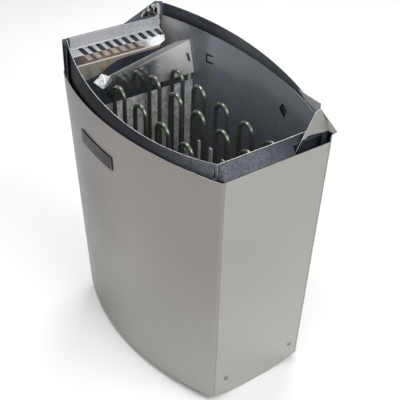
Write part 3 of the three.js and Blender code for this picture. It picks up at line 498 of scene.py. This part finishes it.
def tube(bm, path, radius, sides, flat=None, material=0):
    """A round tube along a path that lies in an upright plane, or along any smooth path."""
    rings, n = [], None
    for i, p in enumerate(path):
        d = Vector()
        if i:
            d += (p - path[i - 1]).normalized()
        if i + 1 < len(path):
            d += (path[i + 1] - p).normalized()
        d.normalize()
        if n is None:
            n = Vector((0, 1, 0)) if abs(d.y) < 0.9 else Vector((1, 0, 0))
        n = (n - d * n.dot(d)).normalized()
        b = d.cross(n)
        r = radius[i] if isinstance(radius, list) else radius
        rings.append([bm.verts.new(p + r * math.cos(t) * n + r * math.sin(t) * b) for t in (2 * math.pi * k / sides for k in range(sides))])
    for a, b in zip(rings, rings[1:]):
        for k in range(sides):
            f = bm.faces.new((a[k], a[(k + 1) % sides], b[(k + 1) % sides], b[k]))
            f.smooth, f.material_index = True, material
    for r, turn in ((rings[0], True), (rings[-1], False)):
        f = bm.faces.new(list(reversed(r)) if turn else r)
        f.material_index = material


def lathe(bm, centre, profile, sides, material=0, axis=None, wave=None):
    """A turned closed body about +Z of axis (a 4x4), from (radius, height) pairs that start and end on the axis."""
    axis = axis or Matrix.Identity(4)
    rings = []
    for r, h in profile:
        if r < 1e-9:
            rings.append([bm.verts.new(axis @ (centre + Vector((0, 0, h))))])
            continue
        ring = []
        for k in range(sides):
            t = 2 * math.pi * k / sides
            rr = r * (wave(t, h) if wave else 1)
            ring.append(bm.verts.new(axis @ (centre + Vector((rr * math.cos(t), rr * math.sin(t), h)))))
        rings.append(ring)
    for a, b in zip(rings, rings[1:]):
        for k in range(sides):
            j = (k + 1) % sides
            if len(a) == 1 and len(b) == 1:
                continue
            vs = (a[0], b[j], b[k]) if len(a) == 1 else (a[k], a[j], b[0]) if len(b) == 1 else (a[k], a[j], b[j], b[k])
            f = bm.faces.new(vs)
            f.smooth, f.material_index = True, material


def to_mesh(bm, name):
    bmesh.ops.recalc_face_normals(bm, faces=bm.faces)
    mesh = bpy.data.meshes.new(name)
    bm.to_mesh(mesh)
    bm.free()
    return mesh


# --- casing and inner sheets, from their own solids
def facing_in(f):
    c = f.calc_center_median()
    return f.normal.x * (c.x - SHIFT.x) / 0.23 + f.normal.y * (c.y - SHIFT.y) / 0.15 < -0.2


remake("front_panel", "stainless", 0.0003, 2, "edge", rim=True)
remake("right_end_panel", "stainless_end", 0.0003, 2, "edge", rim=True)
remake("left_end_panel", "stainless_end", 0.0003, 2, "edge", rim=True, inner="inside", is_inner=lambda f: f.normal.x > 0.5)
# The rear casing's inner faces take the dark 'rear' look, painted shade over the same stainless as outside.
remake("rear_casing", "stainless_end", 0.0003, 2, "dark_edge", rim=True, inner="rear", is_inner=facing_in)
remake("left_end_collar", "collar", 0.0003, 2, "dark_edge", inner="inside", is_inner=facing_in)
remake("inner_front_wall", "dark", 0.00035, 2, "edge", rim=True)
remake("inner_rear_wall", "rear_wall", 0.0003, 2, "dark_edge", rim=True)
remake("inner_right_wall", "right_wall", 0.00035, 2, "edge", rim=True)
remake("right_band", "band", 0.0003, 2)
remake("duct_wall", "duct", 0.0003, 2, "edge")
remake("baffle_plate", "baffle", 0.0003, 2, "bright_edge", inner="tongue", is_inner=lambda f: abs(f.normal.y) > 0.2 and abs(f.normal.z) > 0.3 and f.calc_area() > 1e-5)
# the flap's leg below the cut gets the near-black painted shade look
flap = remake("corner_flap", "flap", 0.0003, 2, "flap_edge", inner="flap_leg_painted_shade", is_inner=lambda f: f.calc_center_median().z < 0.4975, cut_z=0.4975)
# painted light: the flap's faces that face along y get a lighter copy of its stainless
flap.data.materials.append(LOOK["flap_back"])
for f in flap.data.polygons:
    if abs(f.normal.y) > 0.8 and f.material_index == 0:
        f.material_index = 3
remake("corner_stay", "stay", 0.0003, 2)
remake("element_base_plate", "galvanised", 0.0004, 2)
remake("box_lid", "galvanised", 0.0003, 2)
remake("connection_box", "zinc", 0.0004, 2)
remake("badge_plate", "badge", 0.0006, 3, "dark_edge")
for n in ("right_end_bracket", "left_end_bracket", "wall_bracket_upper", "wall_bracket_lower"):
    remake(n, "zinc", 0.0005, 3)
for n in ("element_support_bar_1", "element_support_bar_2", "element_support_bar_3"):
    remake(n, "bars", 0.0003, 2)
for n in ("timer_unit", "thermostat_unit", "terminal_block"):
    remake(n, "ceramic", 0.0006, 3)
for n in ("overheat_cutout", "cable_gland"):
    remake(n, "black", 0.0006, 3)
remake("control_plate", "black", 0.0004, 3)
remake("reset_button", "red", 0.0004, 3)
for n in ("timer_shaft", "thermostat_shaft"):
    remake(n, "zinc", 0.0002, 2)
remake("neutral_bridge", "copper", 0.0004, 2)
for r in ("rear", "middle", "front"):
    for k in (1, 2):
        remake(f"element_nut_{r}_{k}", "brass", 0.0005, 3)
for n in ("line_wire_1", "line_wire_2", "line_wire_3", "neutral_wire"):
    remake(n, "wire", 0)
for n in ("thermostat_sensor", "limiter_sensor"):
    remake(n, "copper", 0)


# --- heating elements: one smooth tube each, with threaded bushings at the base plate
def element(name, y):
    pitch, first, legs, r = 33.0, -142.5, 10, 16.5
    x = [first + pitch * i for i in range(legs)]
    pts = [(x[0], 76), (x[0], 104)]
    for i in range(0, legs, 2):
        xc = x[i] + r
        zc = 452.5 - 0.1 * xc - 4 - r
        pts += [(x[i], 200), (x[i], 300)]
        pts += [(xc - r * math.cos(math.pi * k / 20), zc + r * math.sin(math.pi * k / 20)) for k in range(21)]
        pts += [(x[i + 1], 300), (x[i + 1], 200)]
        if i + 2 < legs:
            xd = x[i + 1] + r
            pts += [(xd - r * math.cos(math.pi * k / 16), 131 - r * math.sin(math.pi * k / 16)) for k in range(17)]
    pts += [(x[-1], 104), (x[-1], 76)]
    path = [Vector((px, y, pz)) * mm + SHIFT for px, pz in pts]
    bm = bmesh.new()
    tube(bm, path, 4 * mm, 18)
    for xe in (x[0], x[-1]):
        at = Vector((xe, y, 0)) * mm + SHIFT
        prof = [(4.02, 101.9), (6.6, 101.9), (6.6, 107.2), (6.0, 107.9), (4.02, 107.9)]
        rings = []
        for pr, h in prof + prof[:1]:
            rings.append([bm.verts.new(at + Vector((pr * math.cos(t), pr * math.sin(t), h)) * mm) for t in (2 * math.pi * k / 24 for k in range(24))] if len(rings) < len(prof) else rings[0])
        for a, b in zip(rings, rings[1:]):
            for k in range(24):
                f = bm.faces.new((a[k], a[(k + 1) % 24], b[(k + 1) % 24], b[k]))
                f.material_index = 1
    node = "heating_element_" + name
    return new_object(node + "_finished", to_mesh(bm, node), ["sheath", "brass"], "heater", [node])


element("rear", 67)
element("middle", 16)
element("front", -58)


# --- slotted air panel: one sheet bent twice, with ten slots in its ledge and a web that deepens to the front
def arc_y(x, a, e, b):
    s = b - e
    r = (a * a + s * s) / (2 * s)
    return b - r + math.sqrt(max(0.0, r * r - x * x))


def slotted_panel():
    d = Vector((41, 0, -7.1)).normalized()
    c1, c2 = Vector((-216.5, 0, 503.05)), Vector((-175.5, 0, 495.95))

    def bend(p, c, q, n=6):
        return [(1 - t) ** 2 * p + 2 * t * (1 - t) * c + t * t * q for t in (k / n for k in range(n + 1))]

    a, b = Vector((-216.5, 0, 509.6)), c1 + 12.8 * d  # the strip with the slots slopes from a to b
    u = (b - a).normalized()
    line = [Vector((-216.5, 0, 531)), Vector((-216.5, 0, 520)), Vector((-216.5, 0, 513))]
    line += bend(a + Vector((0, 0, 1.6)), a, a + 1.6 * u)
    first = len(line) - 1
    line += [a + k * u for k in (4.4, 7.0, 9.6, 11.6)]
    line += bend(b - 1.2 * u, b, b + 1.2 * d)
    last = len(line)
    line += [c1 + 16.5 * d, c1 + 20 * d, c1 + 26 * d, c1 + 33 * d]
    line += bend(c2 - 2.0 * d, c2, c2 - Vector((0, 0, 2.0)))
    line += ["web"]
    cols = ["low"] + [v + 17.85 * i for i in range(10) for v in (-82.7, -81.0, -77.7, -74.4, -72.7)] + ["high"]
    round_end = (1.9, 0.5, 0.0, 0.5, 1.9)  # the slots' upper ends are round
    low_edge = [(-125, 462), (-76, 468), (-61, 473), (-47, 481.5), (-26, 488.8), (0, 490.5), (130, 491.5)]

    def web_z(y):
        for (ya, za), (yb, zb) in zip(low_edge, low_edge[1:]):
            if y <= yb:
                return za + (zb - za) * (max(y, ya) - ya) / (yb - ya)
        return 491.5

    def reach(x):  # the rear end of the ledge is cut back on the slant
        if x < -201:
            return 90.0
        if x < -184:
            return 90 - 10 * (x + 201) / 17
        return 80 - 16 * min(1.0, (x + 184) / 7.9)

    run = [0.0]  # length along the slots
    for p, q in zip(line[first:last], line[first + 1:last + 1]):
        run.append(run[-1] + (q - p).length)
    bm = bmesh.new()
    grid = []
    for i, p in enumerate(line):
        x = -175.5 if p == "web" else p.x
        lo = -99.0 if x < -213 else -arc_y(x, 214, 105.2, 147.2)
        hi = reach(x)
        row = []
        for k, c in enumerate(cols):
            y = lo if c == "low" else hi if c == "high" else min(c, hi - 0.02)
            v = Vector((x, y, web_z(y) if p == "web" else p.z))
            if first <= i <= last and c not in ("low", "high"):  # the slots run a little obliquely
                v.y = min(v.y + 3.4 * (2 * run[i - first] / run[-1] - 1), hi - 0.02)
            if i == first and c not in ("low", "high"):
                v += round_end[(k - 1) % 5] * u
            row.append(bm.verts.new(v * mm + SHIFT))
        grid.append(row)
    for i in range(len(grid) - 1):
        for k in range(len(cols) - 1):
            slot = k % 5 != 0 and first <= i < last
            if not slot:
                f = bm.faces.new((grid[i][k], grid[i + 1][k], grid[i + 1][k + 1], grid[i][k + 1]))
                f.smooth = True
    bmesh.ops.remove_doubles(bm, verts=bm.verts, dist=0.00005)
    o = new_object("slotted_air_panel_finished", to_mesh(bm, "slotted_air_panel"), ["slotted", "edge"], "heater", ["slotted_air_panel", "slotted_ledge", "ledge_lip"])
    t = o.modifiers.new("sheet", "SOLIDIFY")
    t.thickness = 1.0 * mm
    t.offset = 0
    bevelled(o, 0.0002, 2, 50)


slotted_panel()


# --- a safe edge: the top of the baffle is folded over
def baffle_hem():
    bm = bmesh.new()
    path = []
    for k in range(41):
        y = 118 - 176 * k / 40
        z = 498.2 - 0.182 * max(0, 89 - y)
        path.append(Vector((-150 - 0.194 * (z - 431), y, z)) * mm + SHIFT)
    tube(bm, path, [0.75 * mm] * 41, 10)
    new_object("baffle_hem", to_mesh(bm, "baffle_hem"), ["hem"], "heater")


baffle_hem()


# --- the front end of the right band is folded round to meet the front wall
def band_tab():
    rim = [(213.7, -104.0, 490.0), (214.7, -106.4, 489.4), (214.7, -106.4, 466.5), (228.2, -104.0, 468.2)]
    bm = bmesh.new()
    n = Vector((0.16, -0.98, 0.0)).normalized() * 0.4
    vs = [bm.verts.new((Vector(q) + sgn * n) * mm + SHIFT) for sgn in (-1, 1) for q in rim]
    bm.faces.new(vs[:4])
    bm.faces.new(list(reversed(vs[4:])))
    for k in range(4):
        bm.faces.new((vs[k], vs[(k + 1) % 4], vs[4 + (k + 1) % 4], vs[4 + k]))
    bevelled(new_object("right_band_tab", to_mesh(bm, "right_band_tab"), ["band"], "heater"), 0.0002, 2)


band_tab()


# --- screws: domed heads with a slot each, from their own solids
for side in ("right", "left"):
    for k in (1, 2):
        remake(f"{side}_end_screw_{k}", "screw", 0.00015, 2)

# --- controls: fluted knobs with a printed pointer, and a plain number scale
LEAN = math.atan(23.8 / 468)
XC = -(230 - 23.8 * (1 - 72 / 468))
CTRL = Matrix((
    (0, -math.sin(LEAN), -math.cos(LEAN), XC * mm + SHIFT.x),
    (-1, 0, 0, SHIFT.y),
    (0, math.cos(LEAN), -math.sin(LEAN), 72 * mm + SHIFT.z),
    (0, 0, 0, 1),
))


def knob(name, y):
    bm = bmesh.new()
    c = Vector((-y * mm, 0, 0))

    def flutes(t, h):
        if not 0.0072 < h < 0.0222:
            return 1.0
        return 1 - 0.05 * max(0.0, math.cos(20 * t)) ** 2

    prof = [(0, 2.6), (18.4, 2.6), (18.9, 3.1), (18.9, 4.4), (18.3, 5.0), (16.4, 6.0), (16.0, 7.0), (15.95, 7.6), (15.6, 12), (15.2, 17), (14.8, 21.6), (14.6, 22.4), (13.9, 23.7), (13.0, 24.3), (0, 24.3)]
    lathe(bm, c, [(r * mm, h * mm) for r, h in prof], 160, 0, CTRL, flutes)
    # raised finger grip across the top, with crowned ends
    sect = []
    for k in range(33):
        t = -1 + 2 * k / 32
        half = 2.6 * (1 - 0.35 * abs(t) ** 3)
        top = 27.2 - 1.6 * abs(t) ** 4
        sect.append((t * 12.6, half, top))
    rows = []
    for yy, half, top in sect:
        pts = [(-half - 0.5, 24.2), (-half, 25.2), (-half + 0.5, top - 0.4), (-half + 1.1, top), (half - 1.1, top), (half - 0.5, top - 0.4), (half, 25.2), (half + 0.5, 24.2)]
        rows.append([bm.verts.new(CTRL @ (c + Vector((px, yy, pz)) * mm)) for px, pz in pts])
    for a, b in zip(rows, rows[1:]):
        for k in range(8):
            f = bm.faces.new((a[k], a[(k + 1) % 8], b[(k + 1) % 8], b[k]))
            f.smooth = k != 7
    bm.faces.new(rows[0])
    bm.faces.new(list(reversed(rows[-1])))
    # white pointer let into the grip and the skirt
    for x0, x1, y0, y1, z0, z1 in ((-0.55, 0.55, 1.0, 10.6, 26.4, 27.3), (-0.55, 0.55, 16.3, 18.6, 4.0, 5.9)):
        v = [bm.verts.new(CTRL @ (c + Vector((px, py, pz)) * mm)) for pz in (z0, z1) for px, py in ((x0, y0), (x1, y0), (x1, y1), (x0, y1))]
        for q in ((3, 2, 1, 0), (4, 5, 6, 7), (0, 1, 5, 4), (1, 2, 6, 5), (2, 3, 7, 6), (3, 0, 4, 7)):
            f = bm.faces.new([v[i] for i in q])
            f.material_index = 1
    mesh = to_mesh(bm, name)
    mesh.set_sharp_from_angle(angle=math.radians(38))
    return new_object(name + "_finished", mesh, ["black", "white"], BODY_OF[name], [name])


def scale_marks(name, y, labels, sweep):
    """Raised ticks and numbers round one knob. Zero is at the top, and they run the way the knob turns."""
    bm = bmesh.new()
    steps = (len(labels) - 1) * 4
    for i in range(steps + 1):
        a = math.radians(90) - math.radians(sweep) * i / steps
        major = i % 4 == 0
        r0, r1, w = 19.7, 20.9 if major else 20.4, 0.32 if major else 0.2
        u, v = Vector((math.cos(a), math.sin(a), 0)), Vector((-math.sin(a), math.cos(a), 0))
        corners = [u * r0 - v * w, u * r1 - v * w, u * r1 + v * w, u * r0 + v * w]
        vs = [bm.verts.new(CTRL @ ((Vector((-y, 0, h)) + c) * mm)) for h in (1.78, 1.95) for c in corners]
        for q in ((3, 2, 1, 0), (4, 5, 6, 7), (0, 1, 5, 4), (1, 2, 6, 5), (2, 3, 7, 6), (3, 0, 4, 7)):
            bm.faces.new([vs[k] for k in q])
    for i, s in enumerate(labels):
        a = math.radians(90) - math.radians(sweep) * i / (len(labels) - 1)
        cu = bpy.data.curves.new(name + "_text", "FONT")
        cu.body, cu.size, cu.extrude, cu.align_x, cu.align_y = s, 3.4, 0.09, "CENTER", "CENTER"
        tmp = bpy.data.objects.new(name + "_text", cu)
        scene.collection.objects.link(tmp)
        bpy.context.view_layer.update()
        me = bpy.data.meshes.new_from_object(tmp.evaluated_get(bpy.context.evaluated_depsgraph_get()))
        me.transform(CTRL @ Matrix.Scale(mm, 4) @ Matrix.Translation((-y + 22.5 * math.cos(a), 22.5 * math.sin(a), 1.87)))
        bm.from_mesh(me)
        bpy.data.objects.remove(tmp)
        bpy.data.curves.remove(cu)
        bpy.data.meshes.remove(me)
    new_object(name, to_mesh(bm, name), ["white"], "heater")


knob("timer_knob", -40)
knob("thermostat_knob", 44)
scale_marks("timer_scale", -40, ["0", "1", "2", "3", "4", "5", "6"], 300)
scale_marks("thermostat_scale", 44, ["0", "1", "2", "3", "4", "5"], 270)


# ---------------------------------------------------------------- floor, light
def make_stage():
    bm = bmesh.new()
    for p in ((-9, -9), (9, -9), (9, 9), (-9, 9)):
        bm.verts.new((p[0], p[1], 0))
    bm.faces.new(bm.verts)
    L = Look("floor", Metallic=0.0)
    cloud = L.noise(L.place, 1.2, 3, 0.5)
    LOOK["floor"] = L.finish(L.ramp(cloud, [(0.3, (0.90, 0.90, 0.895)), (0.7, (0.93, 0.93, 0.925))]), L.span(cloud, 0.3, 0.7, 0.6, 0.7, False))
    mesh = to_mesh(bm, "floor")
    mesh.materials.append(LOOK["floor"])
    o = bpy.data.objects.new("floor", mesh)
    scene.collection.objects.link(o)

    world = bpy.data.worlds.new("studio")
    scene.world = world
    world.use_nodes = True
    t = world.node_tree
    bg = t.nodes["Background"]
    co = t.nodes.new("ShaderNodeTexCoord")
    sep = t.nodes.new("ShaderNodeSeparateXYZ")
    t.links.new(co.outputs["Generated"], sep.inputs[0])
    ramp = t.nodes.new("ShaderNodeValToRGB")
    e = ramp.color_ramp.elements
    e[0].position, e[0].color = 0.0, (0.42, 0.425, 0.43, 1)
    e[1].position, e[1].color = 0.9, (0.95, 0.955, 0.96, 1)
    t.links.new(sep.outputs[2], ramp.inputs[0])
    t.links.new(ramp.outputs[0], bg.inputs["Color"])
    side = t.nodes.new("ShaderNodeMapRange")  # the room is a little darker to the left
    t.links.new(sep.outputs[0], side.inputs[0])
    for k, v in enumerate((-1.0, 1.0, 0.50, 0.84)):
        side.inputs[k + 1].default_value = v
    t.links.new(side.outputs[0], bg.inputs["Strength"])

    def area(name, at, to, size, energy, color=(1, 1, 1)):
        d = bpy.data.lights.new(name, "AREA")
        d.shape, d.size, d.size_y, d.energy, d.color = "RECTANGLE", size[0], size[1], energy, color
        l = bpy.data.objects.new(name, d)
        scene.collection.objects.link(l)
        l.location = at
        l.rotation_euler = (Vector(to) - Vector(at)).to_track_quat("-Z", "Y").to_euler()

    area("key", (1.9, 0.3, 2.0), (0, 0, 0.3), (1.6, 1.6), 35)
    area("front", (1.3, -2.1, 1.5), (0, 0, 0.2), (1.8, 1.4), 17)
    area("back", (-1.2, 1.6, 2.1), (0, 0, 0.4), (1.4, 1.4), 24)
    area("top", (-0.5, -0.35, 1.9), (0, 0, 0.45), (0.3, 0.3), 9)


make_stage()
scene.view_settings.view_transform = "Standard"
